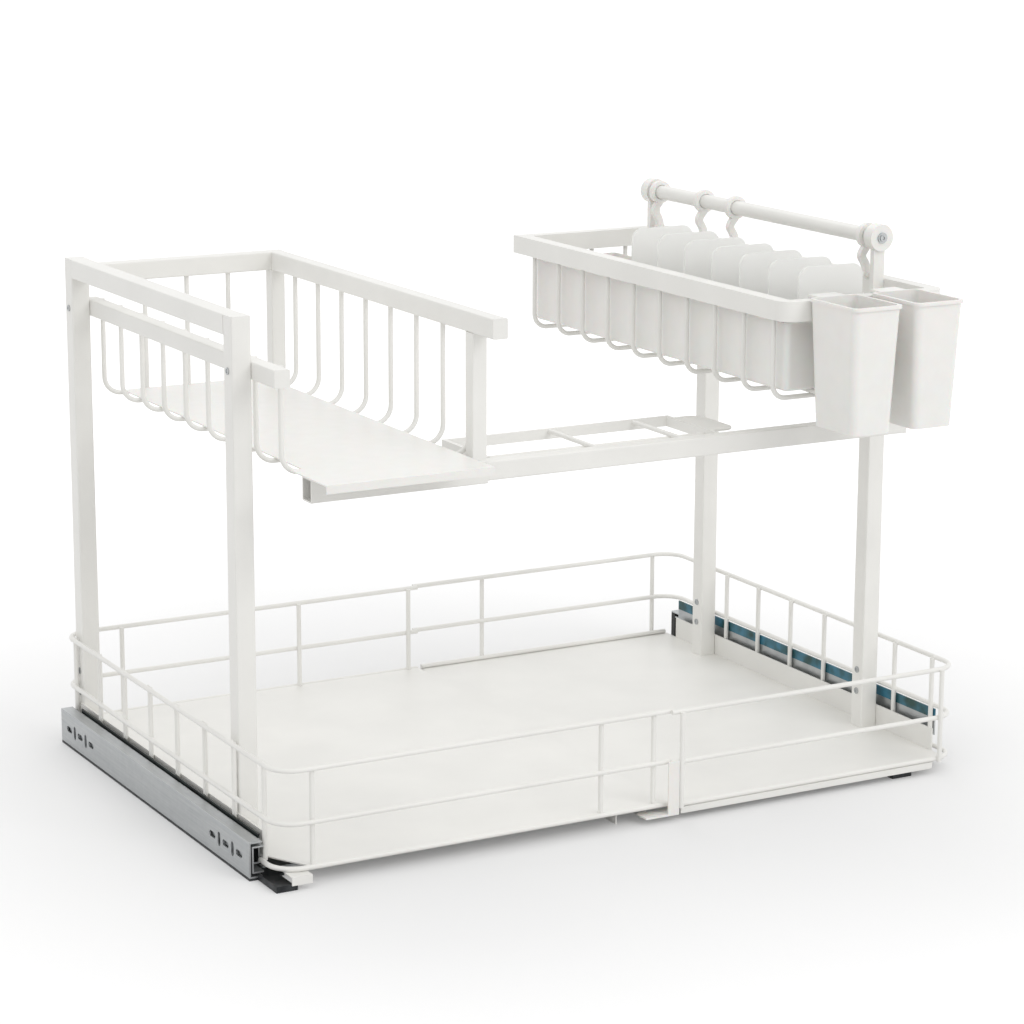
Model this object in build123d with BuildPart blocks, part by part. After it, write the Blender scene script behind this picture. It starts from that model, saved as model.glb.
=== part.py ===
# Expandable two-level pull-out organizer for an under sink cabinet.
# Millimetres. X runs left to right, Y front to back, Z up from the cabinet floor.
# The origin is the middle of the footprint, on the floor.
import os
from build123d import *

os.makedirs("parts", exist_ok=True)

# Sizes shared by the whole organizer
fence_width = 588.0
fence_depth = 420.0
wire_d = 3.8
wire_r = wire_d / 2
weld_step = 0.75 * wire_d
gap = 0.3
overrun = 1.0
sheet_t = 1.0
drawer_travel = 360.0
width_travel = 95.0

# Cups that hang in front, because they set how far the organizer reaches forward
cup_depth = 60.0
cup_width = 43.0
cup_foot_depth = 51.0
cup_foot_width = 36.0
cup_height = 96.0
cup_wall = 1.8
cup_corner_r = 6.0
cup_lip = 1.6
cup_lip_height = 2.4
cup_pitch = 56.0
cup_inset = 42.0
hook_tab_t = 2.2
hook_tab_width = 24.0
hook_tab_drop = 11.0
cup_reach = gap + cup_depth + cup_lip

# Fence planes and the footprint's middle
fence_step = wire_d + 2 * gap
fence_reach = fence_step + weld_step + wire_r
left_x = -fence_width / 2
right_x = fence_width / 2
front_y = (cup_reach - fence_depth - fence_reach) / 2
back_y = front_y + fence_depth

# Ball-bearing slides
slide_setback = 24.0
slide_end_room = 20.0
slide_length = fence_depth - slide_setback - slide_end_room
slide_height = 27.0
slide_width = 12.7
slide_sheet = 1.2
race_gap = 2.2
web_gap = 1.0
middle_shortening = 8.0
inner_front_inset = 10.0
inner_shortening = 26.0
right_slide_shift = 28.0
left_lip_rise = 2.0
right_lip_rise = 13.5
right_lip_lead = 38.0
slot_length = 11.0
slot_width = 4.6
slot_pitch = 12.0
slot_group_inset = 42.0
slots_per_group = 5
ball_d = 1.6
cage_t = 0.6
cage_width = 4.0
cage_length = 160.0
balls_per_strip = 10
outer_cage_start = 104.0
inner_cage_start = 96.0
stop_length = 6.0
lever_length = 32.0
lever_height = 4.0
lever_t = 2.0
lever_start = 22.0
lever_pin_r = 1.5
lever_pin_fit = 0.05

# Base that stays in the cabinet
strap_t = 1.5
strap_width = 20.0
strap_setback = 40.0
bracket_t = strap_t + gap
left_bracket_width = 27.0
right_bracket_width = 71.0
left_foot_inset = 6.5
left_foot_width = 16.5
left_foot_lead = 8.0
left_upstand_height = 4.8
right_foot_width = 18.0
right_foot_lead = 2.0
right_upstand_height = 4.5
upstand_t = 1.2
floor_screw_r = 2.25
floor_screw_lead = 20.0
floor_screw_inset = 36.0
floor_screw_line = 20.0
strap_shortening = 213.0
rail_width = 27.0
rail_height = 8.0
rail_wall = 1.2
rail_lead = 43.0
rail_setback = 8.0
glide_t = 0.6
glide_inset = 27.0

# Tray halves
left_floor_top = 13.0
left_hem_drop = 1.8
left_half_share = 0.551
tongue_lap = 52.0
lap_clearance = 6.0
corner_cut = 18.5
left_corner_depth = 34.0
side_wall_height = 18.0
right_wall_setback = 20.0
wall_back_lead = 8.0
pad_place_shares = (1.5, 3.5, 6.5)
pad_length = 14.0
pad_height = 6.0
front_hem_height = 4.0
tab_from_left = 6.0
tab_length = 16.0
tab_reach = 9.5
tab_drop = 6.2
tongue_inset = 2.6

# Fence wires
mid_wire_z = 45.5
top_wire_z = 85.0
fence_corner_r = 20.0
side_wire_count = 8
left_side_front_inset = 5.6
left_side_back_inset = 6.2
right_side_front_inset = 2.4
right_side_back_inset = 29.3
left_front_upright_shares = (0.0855, 0.817, 0.958)
left_back_upright_shares = (0.151, 0.647, 0.969)
right_front_upright_shares = (0.0286, 0.9316)
right_back_upright_shares = (0.2628, 0.9248)
wire_lap = 2.0
clip_lead = 4.0
clip_width = 9.4
clip_t = 1.5
clip_foot_width = 29.0
clip_foot_depth = 13.8
clip_foot_z = 5.0

# Posts and the left top tube
post_side = 15.0
tube_wall = 1.0
tube_corner_r = 1.2
cap_t = 2.0
left_post_setback = 80.0
left_post_end_room = 11.0
right_post_setback = 96.0
right_post_end_room = 63.0
frame_height = 396.5
right_post_top_drop = 7.0

# Shelf on the left
shelf_width = 171.3
shelf_rail_width = 12.0
shelf_rail_height = 15.0
shelf_rail_drop = 5.5
low_rail_height = 13.0
low_rail_drop = 33.0
low_rail_setback = 41.0
right_rail_setback = 16.0
shelf_wire_drop = 111.5
shelf_wire_bend = 14.0
shelf_wire_tip = 1.0
shelf_wire_first = 61.8
shelf_wire_last = 32.8
shelf_wire_count = 8
shelf_back_wire_count = 3
shelf_floor_t = 1.0
shelf_lip_reach = 2.0
shelf_lip_side = 9.0
shelf_lip_drop = 5.0

# Telescoping cross beam and the narrow rack behind it
beam_setback = 47.0
beam_depth = 12.0
beam_height = 14.5
beam_drop = 19.0
beam_from_left = 140.0
sleeve_wall = 1.2
sleeve_fit = 0.35
sleeve_from_left = 50.0
sleeve_to_left = 192.0
plate_t = 3.0
rack_from_left = 200.0
rack_length = 200.0
rack_depth = 75.0
rack_strip_t = 3.0
rack_strip_height = 8.0
rack_wire_shares = (0.46, 0.835)
rack_mid_offset = 17.5
rack_tab_length = 22.0
rack_tab_inset = 9.0
rack_tab_t = 1.5

# Basket on the right
basket_width = 149.0
basket_end_room = 1.0
rim_drop = 9.5
rim_height = 15.0
rim_width = 12.0
rim_sheet = 1.2
rim_corner_r = 14.0
basket_wire_drop = 77.0
basket_wire_bend = 12.0
basket_wire_first = 24.0
basket_wire_last = 26.9
basket_wire_count = 10
basket_long_wires = 3
long_wire_gap = 0.05

# Liner and dividers in the basket
liner_width = 80.0
liner_wall = 1.6
liner_height = 52.0
liner_corner_r = 5.0
liner_end_room = 4.0
liner_foot_r = 2.5
divider_t = 2.0
divider_count = 7
divider_first = 12.0
divider_last = 131.4
divider_play = 0.3
rib_t = 1.4
rib_depth = 2.0
divider_tab_width = 58.0
divider_tab_inset = 2.0
divider_tab_rise = 21.0
divider_tab_r = 9.0

# Towel bar, brackets and ring hooks
bar_d = 12.0
bar_rise = 32.5
bar_front_setback = 66.7
bar_back_inset = 0.5
head_r = 10.5
head_t = 10.0
head_wall = 3.0
arm_width = 10.0
arm_t = 5.0
ring_wall = 3.2
ring_fit = 0.4
ring_t = 5.0
hook_place_shares = (0.013, 0.611, 0.764, 0.99)
hook_arm_width = 5.5
hook_sway = 5.0
hook_drop = 31.0
peg_r = 2.2
peg_reach = 3.0
end_screw_r = 4.2
end_screw_t = 1.2
socket_r = 1.6

# Screws on the posts
screw_head_r = 2.6
screw_head_t = 0.8
low_screw_z = 40.0
high_screw_z = 58.0

# Places worked out from the sizes above
slide_low = bracket_t
slide_high = slide_low + slide_height
side_in = left_x + weld_step
slide_in_x = side_in - wire_r - gap
slide_out_x = slide_in_x - slide_width
slide_mid_z = slide_low + slide_height / 2
slide_front_y = front_y + slide_setback
slide_back_y = slide_front_y + slide_length
middle_height = slide_height - 2 * (slide_sheet + race_gap)
inner_height = middle_height - 2 * (slide_sheet + race_gap)
middle_out_x = slide_out_x + slide_sheet + web_gap
middle_web_in = middle_out_x + slide_sheet
inner_out_x = middle_web_in + web_gap
inner_web_x = slide_in_x - slide_sheet
middle_in_x = inner_web_x - gap
outer_in_x = middle_in_x - web_gap

wall_out_x = side_in + wire_r
wall_in_x = wall_out_x + sheet_t
wall_end_y = slide_back_y + wall_back_lead
left_floor_low = left_floor_top - sheet_t
left_hem_low = left_floor_low - left_hem_drop
right_floor_top = left_hem_low - gap
right_floor_low = right_floor_top - sheet_t
left_low_wire_z = left_hem_low + wire_r
right_low_wire_z = right_floor_top + wire_r
left_half_length = fence_width * left_half_share
left_end_x = left_x + left_half_length
tongue_start_x = left_end_x - tongue_lap
wide_start_x = left_end_x + lap_clearance

left_post_x = wall_in_x
left_post_in_x = left_post_x + post_side
right_post_in_x = -left_post_in_x
left_post_y = front_y + left_post_setback
left_post_back_y = back_y - left_post_end_room
right_post_y = front_y + right_post_setback
right_post_back_y = back_y - right_post_end_room
rim_top = frame_height - rim_drop
right_post_top = rim_top - right_post_top_drop
tube_low = frame_height - post_side

shelf_in_x = left_post_in_x
shelf_out_x = shelf_in_x + shelf_width
shelf_rail_top = frame_height - shelf_rail_drop
shelf_rail_low = shelf_rail_top - shelf_rail_height
low_rail_top = frame_height - low_rail_drop
low_rail_low = low_rail_top - low_rail_height
low_rail_y = front_y + low_rail_setback
right_rail_y = front_y + right_rail_setback
back_rail_y = left_post_back_y - shelf_rail_width
shelf_wire_z = frame_height - shelf_wire_drop
shelf_wire_left = shelf_in_x + shelf_rail_width + wire_r
shelf_wire_right = shelf_out_x - shelf_rail_width / 2
back_wire_y = back_rail_y + shelf_rail_width / 2
right_rail_in_x = shelf_out_x - shelf_rail_width
shelf_floor_low = shelf_wire_z + wire_r

beam_y = front_y + beam_setback
beam_low = shelf_wire_z - beam_drop
beam_back_y = beam_y + beam_depth
beam_top = beam_low + beam_height
sleeve_room = sleeve_wall + sleeve_fit
sleeve_top = beam_top + sleeve_room
sleeve_x = left_x + sleeve_from_left
sleeve_end_x = left_x + sleeve_to_left
end_plate_x = right_post_in_x - plate_t
rack_x = left_x + rack_from_left
rack_end_x = rack_x + rack_length
rack_back_y = beam_back_y + rack_depth

basket_right = right_post_in_x
basket_left = basket_right - basket_width
basket_front = front_y
basket_back = back_y - basket_end_room
rim_low = rim_top - rim_height
rim_in_left = basket_left + rim_width
rim_in_right = basket_right - rim_width
rim_in_front = basket_front + rim_width
rim_in_back = basket_back - rim_width
basket_wire_z = rim_top - basket_wire_drop
long_wire_z = basket_wire_z + wire_d + long_wire_gap

liner_x = rim_in_left + gap
liner_end_x = liner_x + liner_width
liner_y = rim_in_front + liner_end_room
liner_end_y = rim_in_back - liner_end_room
liner_low = long_wire_z + wire_r + gap
liner_top = liner_low + liner_height
liner_floor = liner_low + liner_wall

bar_x = rim_in_right - arm_width / 2
bar_z = rim_top + bar_rise
bar_front_y = front_y + bar_front_setback
bar_back_y = rim_in_back - bar_back_inset
cup_top = rim_top + gap + hook_tab_t
cup_y = basket_front - gap - cup_depth / 2


def block(low, high, mode=Mode.ADD):
    """A box between two corners."""
    size = [b - a for a, b in zip(low, high)]
    middle = [(a + b) / 2 for a, b in zip(low, high)]
    with Locations(tuple(middle)):
        Box(*size, mode=mode)


def wire(points, bend=0.0):
    """A round wire along straight stretches with rounded bends."""
    with BuildLine(mode=Mode.PRIVATE) as route:
        if bend:
            FilletPolyline(*points, radius=bend)
        else:
            Polyline(*points)
    with BuildSketch(Plane(route.line @ 0, z_dir=route.line % 0), mode=Mode.PRIVATE) as section:
        Circle(wire_r)
    sweep(section.sketch, path=route.line)


def disc(position, direction, radius, length, mode=Mode.ADD):
    """A round bar or plate that starts at position and runs along direction."""
    with Locations(Plane(position, z_dir=direction)):
        Cylinder(radius, length, align=(Align.CENTER, Align.CENTER, Align.MIN), mode=mode)


def socket(position, direction, depth):
    """A hexagon socket cut into the face at position, against direction."""
    with BuildSketch(Plane(position, z_dir=direction), mode=Mode.PRIVATE) as outline:
        RegularPolygon(socket_r, 6)
    extrude(outline.sketch, amount=-depth, mode=Mode.SUBTRACT)


def square_tube(low, high, axis, closed_ends=()):
    """A square or flat tube between two corners, open at each end not named in closed_ends."""
    along = {Axis.X: 0, Axis.Y: 1, Axis.Z: 2}[axis]
    hole_low = [v + tube_wall for v in low]
    hole_high = [v - tube_wall for v in high]
    hole_low[along] = low[along] + cap_t if "low" in closed_ends else low[along] - overrun
    hole_high[along] = high[along] - cap_t if "high" in closed_ends else high[along] + overrun
    with BuildPart(mode=Mode.PRIVATE) as tube:
        block(low, high)
        fillet(edges().filter_by(axis), tube_corner_r)
        block(hole_low, hole_high, mode=Mode.SUBTRACT)
    return tube.part


def channel(out_x, in_x, height, start_y, end_y, web_at_in=False):
    """One C-section slide member, open towards the side that has no web."""
    low = slide_mid_z - height / 2
    high = slide_mid_z + height / 2
    block((out_x, start_y, low), (in_x, end_y, high))
    fillet(edges().filter_by(Axis.Y), slide_sheet / 2)
    room_low_x = out_x - overrun if web_at_in else out_x + slide_sheet
    room_high_x = in_x - slide_sheet if web_at_in else in_x + overrun
    block(
        (room_low_x, start_y - overrun, low + slide_sheet),
        (room_high_x, end_y + overrun, high - slide_sheet),
        mode=Mode.SUBTRACT,
    )


def cage(out_x, in_x, strip_z, start_y):
    """A pair of thin strips, each carrying a row of balls, above and below a slide member."""
    middle_x = (out_x + in_x) / 2
    for side in (-1, 1):
        z = slide_mid_z + side * strip_z
        block(
            (middle_x - cage_width / 2, start_y, z - cage_t / 2),
            (middle_x + cage_width / 2, start_y + cage_length, z + cage_t / 2),
        )
        pitch = cage_length / balls_per_strip
        for ball in range(balls_per_strip):
            with Locations((middle_x, start_y + (ball + 0.5) * pitch, z)):
                Sphere(ball_d / 2)


def screw_head(x, y, z):
    """A low round screw head with a hexagon socket on a face that looks left."""
    disc((x, y, z), (-1, 0, 0), screw_head_r, screw_head_t)
    socket((x - screw_head_t, y, z), (-1, 0, 0), screw_head_t / 2)


def save(name, builder):
    builder.part.label = name
    export_step(builder.part, f"parts/{name}.step")


# Slide members. The left slide is built, and the right one mirrors it a little further back.
with BuildPart() as left_slide_outer:
    channel(slide_out_x, outer_in_x, slide_height, slide_front_y, slide_back_y)
    for group_y in (slide_front_y + slot_group_inset, slide_back_y - slot_group_inset):
        for slot in range(slots_per_group):
            slot_y = group_y + (slot - (slots_per_group - 1) / 2) * slot_pitch
            upright_slot = slot % 2 == 1
            slot_place = (slide_out_x - overrun, slot_y, slide_mid_z)
            with BuildSketch(Plane(slot_place, x_dir=(0, 1, 0), z_dir=(1, 0, 0))):
                SlotOverall(slot_length, slot_width, rotation=90 if upright_slot else 0)
            extrude(amount=slide_sheet + 2 * overrun, mode=Mode.SUBTRACT)
save("left_slide_outer", left_slide_outer)

with BuildPart() as left_slide_middle:
    channel(middle_out_x, middle_in_x, middle_height, slide_front_y, slide_back_y - middle_shortening)
save("left_slide_middle", left_slide_middle)

# The inner member's web stands up above the slide as a lip, higher and longer on the right
inner_front_y = slide_front_y + inner_front_inset
inner_end_y = inner_front_y + slide_length - inner_shortening
lever_pin_y = inner_front_y + lever_start


def inner_member(lip_rise, lip_lead):
    """The slide member that carries the drawer, with its lip and the lever's pin."""
    channel(inner_out_x, slide_in_x, inner_height, inner_front_y, inner_end_y, web_at_in=True)
    lip_low = slide_mid_z + inner_height / 2 - slide_sheet
    lip_start = (inner_web_x, inner_front_y - lip_lead, lip_low)
    block(lip_start, (slide_in_x, inner_end_y, slide_high + lip_rise))
    disc((inner_web_x, lever_pin_y, slide_mid_z), (-1, 0, 0), lever_pin_r, lever_t + 2 * gap)


with BuildPart() as left_slide_inner:
    inner_member(left_lip_rise, 0)
save("left_slide_inner", left_slide_inner)

with BuildPart() as high_lip_inner:
    inner_member(right_lip_rise, right_lip_lead)

with BuildPart() as left_release_lever:
    lever_face_x = inner_web_x - gap
    lever_middle = (lever_face_x, lever_pin_y + lever_length / 2, slide_mid_z)
    with BuildSketch(Plane(lever_middle, x_dir=(0, 1, 0), z_dir=(-1, 0, 0))):
        SlotCenterToCenter(lever_length, lever_height)
    extrude(amount=lever_t)
    pin_seat = (lever_face_x, lever_pin_y, slide_mid_z)
    disc(pin_seat, (-1, 0, 0), lever_height / 2 + lever_pin_r, lever_t)
    disc(pin_seat, (-1, 0, 0), lever_pin_r + lever_pin_fit, lever_t, mode=Mode.SUBTRACT)
save("left_release_lever", left_release_lever)

outer_cage_z = middle_height / 2 + race_gap / 2
inner_cage_z = inner_height / 2 + race_gap / 2
with BuildPart() as left_outer_cage:
    cage(middle_out_x, outer_in_x, outer_cage_z, slide_front_y + outer_cage_start)
save("left_outer_cage", left_outer_cage)

with BuildPart() as left_inner_cage:
    cage(inner_out_x, middle_in_x, inner_cage_z, slide_front_y + inner_cage_start)
save("left_inner_cage", left_inner_cage)

with BuildPart() as left_slide_stop:
    block(
        (slide_out_x + slide_sheet, slide_back_y - stop_length, slide_low + slide_sheet),
        (outer_in_x, slide_back_y, slide_high - slide_sheet),
    )
    fillet(edges().filter_by(Axis.X), cage_t)
save("left_slide_stop", left_slide_stop)

for name, source in (
    ("right_slide_outer", left_slide_outer),
    ("right_slide_middle", left_slide_middle),
    ("right_slide_inner", high_lip_inner),
    ("right_release_lever", left_release_lever),
    ("right_outer_cage", left_outer_cage),
    ("right_inner_cage", left_inner_cage),
    ("right_slide_stop", left_slide_stop),
):
    with BuildPart() as mirrored:
        with Locations((0, right_slide_shift, 0)):
            add(mirror(source.part, about=Plane.YZ, mode=Mode.PRIVATE))
    save(name, mirrored)

# Floor brackets under the slides, each with screw holes and a narrow foot that turns up in front
left_bracket_end = slide_out_x + left_bracket_width
left_foot_x = slide_out_x + left_foot_inset
left_foot_end = left_foot_x + left_foot_width
left_foot_y = front_y - left_foot_lead
with BuildPart() as left_floor_bracket:
    block((slide_out_x, slide_front_y, 0), (left_bracket_end, slide_back_y, bracket_t))
    block((left_foot_x, left_foot_y, 0), (left_foot_end, slide_front_y, bracket_t))
    block((left_foot_x, left_foot_y, 0), (left_foot_end, left_foot_y + upstand_t, left_upstand_height))
    block((left_foot_x, left_foot_y, 0), (left_foot_x + upstand_t, slide_front_y, left_upstand_height))
    for y in (slide_front_y + floor_screw_lead, slide_back_y - floor_screw_inset):
        with Locations((slide_out_x + floor_screw_line, y, bracket_t)):
            Hole(floor_screw_r)
save("left_floor_bracket", left_floor_bracket)

right_bracket_x = -slide_out_x - right_bracket_width
right_bracket_y = slide_front_y + right_slide_shift
right_bracket_back = slide_back_y + right_slide_shift
right_foot_end = right_bracket_x + right_foot_width
right_foot_y = front_y - right_foot_lead
with BuildPart() as right_floor_bracket:
    block((right_bracket_x, right_bracket_y, 0), (-slide_out_x, right_bracket_back, bracket_t))
    block((right_bracket_x, right_foot_y, 0), (right_foot_end, right_bracket_y, bracket_t))
    block(
        (right_bracket_x, right_foot_y, 0),
        (right_foot_end, right_foot_y + upstand_t, right_upstand_height),
    )
    block(
        (right_bracket_x, right_foot_y, 0),
        (right_bracket_x + upstand_t, front_y + strap_setback, right_upstand_height),
    )
    for y in (right_bracket_y + floor_screw_lead, right_bracket_back - floor_screw_inset):
        with Locations((-slide_out_x - floor_screw_line, y, bracket_t)):
            Hole(floor_screw_r)
save("right_floor_bracket", right_floor_bracket)

# Cross straps: the left pair lies on the floor, and the right pair slides over it
strap_ys = (front_y + strap_setback, back_y - strap_setback - strap_width)
strap_length = fence_width - strap_shortening
left_strap_end = left_bracket_end + strap_length
with BuildPart() as left_cross_straps:
    for y in strap_ys:
        block((left_bracket_end, y, 0), (left_strap_end, y + strap_width, strap_t))
save("left_cross_straps", left_cross_straps)

right_strap_start = right_bracket_x - strap_length
with BuildPart() as right_cross_straps:
    for y in strap_ys:
        block(
            (right_strap_start, y + gap, bracket_t),
            (right_foot_end, y + strap_width - gap, bracket_t + strap_t),
        )
save("right_cross_straps", right_cross_straps)

# Centre rail: an upside-down channel that straddles the straps under the drawer's joint
rail_x = left_end_x - rail_lead
rail_end_x = rail_x + rail_width
rail_y = front_y + rail_setback
notch_top = bracket_t + strap_t + gap
with BuildPart() as centre_rail:
    block((rail_x, rail_y, 0), (rail_end_x, slide_back_y, rail_height))
    fillet(edges().filter_by(Axis.Y).group_by(Axis.Z)[-1], rail_wall)
    block(
        (rail_x + rail_wall, rail_y - overrun, -overrun),
        (rail_end_x - rail_wall, slide_back_y + overrun, rail_height - rail_wall),
        mode=Mode.SUBTRACT,
    )
    for y in strap_ys:
        notch_low = (rail_x - overrun, y, -overrun)
        block(notch_low, (rail_end_x + overrun, y + strap_width, notch_top), mode=Mode.SUBTRACT)
save("centre_rail", centre_rail)

with BuildPart() as centre_glide:
    block(
        (rail_x + 2 * rail_wall, rail_y + glide_inset, rail_height),
        (rail_end_x - 2 * rail_wall, slide_back_y - glide_inset, rail_height + glide_t),
    )
save("centre_glide", centre_glide)


def side_wire_ys(front_inset, back_inset):
    """Even places for the uprights that stand against a side wall, and the step between them."""
    first = slide_front_y + front_inset
    step = (wall_end_y - back_inset - first) / (side_wire_count - 1)
    return [first + number * step for number in range(side_wire_count)], step


left_wire_ys, left_wire_step = side_wire_ys(left_side_front_inset, left_side_back_inset)
right_wire_ys, right_wire_step = side_wire_ys(right_side_front_inset, right_side_back_inset)


def tray_side(side, floor_low, start_y, first_wire_y, wire_step):
    """A folded side wall inside the uprights, with pads between them that reach the slide."""
    wall_top = floor_low + sheet_t + side_wall_height
    wall = sorted((-side * wall_out_x, -side * wall_in_x))
    pad = sorted((-side * slide_in_x, -side * wall_out_x))
    block((wall[0], start_y, floor_low), (wall[1], wall_end_y, wall_top))
    for share in pad_place_shares:
        y = first_wire_y + share * wire_step
        block(
            (pad[0], y - pad_length / 2, slide_mid_z - pad_height / 2),
            (pad[1], y + pad_length / 2, slide_mid_z + pad_height / 2),
        )


# Left tray half: floor with a cut front corner, short hems, a side wall and a tab in front
with BuildPart() as left_tray:
    plate_front = front_y + wire_r
    plate_back = back_y - wire_r
    left_wall_y = plate_front + left_corner_depth
    with BuildSketch(Plane.XY.offset(left_floor_low)):
        with BuildLine():
            Polyline(
                (wall_in_x + corner_cut, plate_front),
                (left_end_x, plate_front),
                (left_end_x, plate_back),
                (wall_out_x, plate_back),
                (wall_out_x, left_wall_y),
                close=True,
            )
        make_face()
    extrude(amount=sheet_t)
    for hem_y in (plate_front, plate_back - sheet_t):
        block(
            (wall_in_x + corner_cut, hem_y, left_hem_low),
            (left_end_x, hem_y + sheet_t, left_floor_low),
        )
    tray_side(-1, left_floor_low, left_wall_y, left_wire_ys[0], left_wire_step)
    tab_x = left_x + tab_from_left
    tab_y = front_y - tab_reach
    tab_plate_low = left_hem_low - sheet_t
    tab_end_x = tab_x + tab_length
    tab_low = left_hem_low - sheet_t
    block((tab_x, tab_y, tab_low), (tab_end_x, plate_front, left_hem_low))
    block((tab_x, tab_y, left_hem_low - tab_drop), (tab_end_x, tab_y + sheet_t, left_hem_low))
    block((tab_x, plate_front, tab_low), (tab_end_x + corner_cut, plate_front + sheet_t, left_hem_low))
save("left_tray", left_tray)

# Right tray half: a narrow tongue under the left floor, then the full width with its side wall
right_wall_in_x = -wall_in_x
right_edge_front = front_y - fence_step - wire_r
right_edge_back = back_y + fence_step + wire_r
with BuildPart() as right_tray:
    tongue_front = front_y + wire_r + sheet_t + gap
    tongue_back = back_y - wire_r - sheet_t - gap
    with BuildSketch(Plane.XY.offset(right_floor_low)):
        with BuildLine():
            Polyline(
                (tongue_start_x, tongue_front),
                (wide_start_x, tongue_front),
                (wide_start_x, right_edge_front),
                (right_wall_in_x - corner_cut, right_edge_front),
                (right_wall_in_x, right_edge_front + corner_cut),
                (right_wall_in_x, right_edge_back),
                (wide_start_x, right_edge_back),
                (wide_start_x, tongue_back),
                (tongue_start_x, tongue_back),
                close=True,
            )
        make_face()
    extrude(amount=sheet_t)
    block(
        (wide_start_x, right_edge_front, right_floor_low - front_hem_height),
        (right_wall_in_x - corner_cut, right_edge_front + sheet_t, right_floor_low),
    )
    tray_side(1, right_floor_low, front_y + right_wall_setback, right_wire_ys[0], right_wire_step)
save("right_tray", right_tray)

# Left fence: three long bent wires and their uprights
with BuildPart() as left_fence:
    for z in (top_wire_z, mid_wire_z):
        wire(
            [(left_end_x, front_y, z), (left_x, front_y, z), (left_x, back_y, z), (left_end_x, back_y, z)],
            bend=fence_corner_r,
        )
    wire(
        [
            (left_end_x, front_y, left_low_wire_z),
            (left_x, front_y, left_low_wire_z),
            (left_x, left_wire_ys[0] + wire_r, left_low_wire_z),
        ],
        bend=fence_corner_r,
    )
    wire([(left_end_x, back_y, left_low_wire_z), (wall_in_x + wire_r, back_y, left_low_wire_z)])
    for share in left_front_upright_shares:
        x = left_x + share * left_half_length
        wire([(x, front_y + weld_step, left_floor_top), (x, front_y + weld_step, top_wire_z)])
    for share in left_back_upright_shares:
        x = left_x + share * left_half_length
        wire([(x, back_y - weld_step, left_floor_top), (x, back_y - weld_step, top_wire_z)])
    for y in left_wire_ys:
        wire([(side_in, y, left_low_wire_z), (side_in, y, top_wire_z)])
save("left_fence", left_fence)

# Right fence: it runs outside the left one, so the two slide past each other
right_front_line = front_y - fence_step
right_back_line = back_y + fence_step
right_start_x = left_end_x - wire_lap
right_side_in = right_x - weld_step
with BuildPart() as right_fence:
    for z in (top_wire_z, mid_wire_z):
        wire(
            [
                (right_start_x, right_front_line, z),
                (right_x, right_front_line, z),
                (right_x, right_back_line, z),
                (right_start_x, right_back_line, z),
            ],
            bend=fence_corner_r,
        )
    wire(
        [
            (wide_start_x, right_front_line, right_low_wire_z),
            (right_x, right_front_line, right_low_wire_z),
            (right_x, right_wire_ys[0] + wire_r, right_low_wire_z),
        ],
        bend=fence_corner_r,
    )
    low_back_end = right_wall_in_x - wire_r
    wire(
        [
            (wide_start_x, right_back_line, right_low_wire_z),
            (low_back_end, right_back_line, right_low_wire_z),
        ]
    )
    right_wire_length = right_x - right_start_x
    for share in right_front_upright_shares:
        x = right_start_x + share * right_wire_length
        y = right_front_line - weld_step
        wire([(x, y, right_floor_top), (x, y, top_wire_z)])
    for share in right_back_upright_shares:
        x = right_start_x + share * right_wire_length
        y = right_back_line + weld_step
        wire([(x, y, right_floor_top), (x, y, top_wire_z)])
    for y in right_wire_ys:
        wire([(right_side_in, y, right_low_wire_z), (right_side_in, y, top_wire_z)])
save("right_fence", right_fence)

# Joint clip: a flat strip on the right fence's free ends in front, hooked under the left tray
clip_x = right_start_x - clip_lead
clip_end_x = clip_x + clip_width
clip_y = right_front_line - wire_r - clip_t
with BuildPart() as joint_clip:
    block((clip_x, clip_y, clip_foot_z), (clip_end_x, clip_y + clip_t, mid_wire_z + wire_r))
    block(
        (clip_end_x - clip_foot_width, clip_y, clip_foot_z),
        (clip_end_x, clip_y + clip_foot_depth, clip_foot_z + clip_t),
    )
save("joint_clip", joint_clip)

# Square posts on the tray floors, closed at the top, and the tube across the left pair
for name, low, high in (
    ("left_front_post", (left_post_x, left_post_y, left_floor_top), frame_height),
    ("left_back_post", (left_post_x, left_post_back_y - post_side, left_floor_top), frame_height),
    ("right_front_post", (right_post_in_x, right_post_y, right_floor_top), right_post_top),
    ("right_back_post", (right_post_in_x, right_post_back_y - post_side, right_floor_top), right_post_top),
):
    with BuildPart() as post:
        post_end = (low[0] + post_side, low[1] + post_side, high)
        add(square_tube(low, post_end, Axis.Z, closed_ends=("high",)))
    save(name, post)

with BuildPart() as left_top_tube:
    tube_end = (left_post_in_x, left_post_back_y - post_side, frame_height)
    add(square_tube((left_post_x, left_post_y + post_side, tube_low), tube_end, Axis.Y))
save("left_top_tube", left_top_tube)

# Shelf frame: a low rail inside the left posts, and higher rails at the back and the right
with BuildPart() as shelf_left_rail:
    rail_end = (shelf_in_x + shelf_rail_width, left_post_back_y, low_rail_top)
    add(square_tube((shelf_in_x, low_rail_y, low_rail_low), rail_end, Axis.Y, closed_ends=("low", "high")))
save("shelf_left_rail", shelf_left_rail)

with BuildPart() as shelf_back_rail:
    rail_start = (shelf_in_x, back_rail_y, shelf_rail_low)
    rail_end = (shelf_out_x, left_post_back_y, shelf_rail_top)
    add(square_tube(rail_start, rail_end, Axis.X, closed_ends=("low", "high")))
save("shelf_back_rail", shelf_back_rail)

with BuildPart() as shelf_right_rail:
    rail_start = (right_rail_in_x, right_rail_y, shelf_rail_low)
    rail_end = (shelf_out_x, back_rail_y, shelf_rail_top)
    add(square_tube(rail_start, rail_end, Axis.Y, closed_ends=("low",)))
save("shelf_right_rail", shelf_right_rail)

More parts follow.
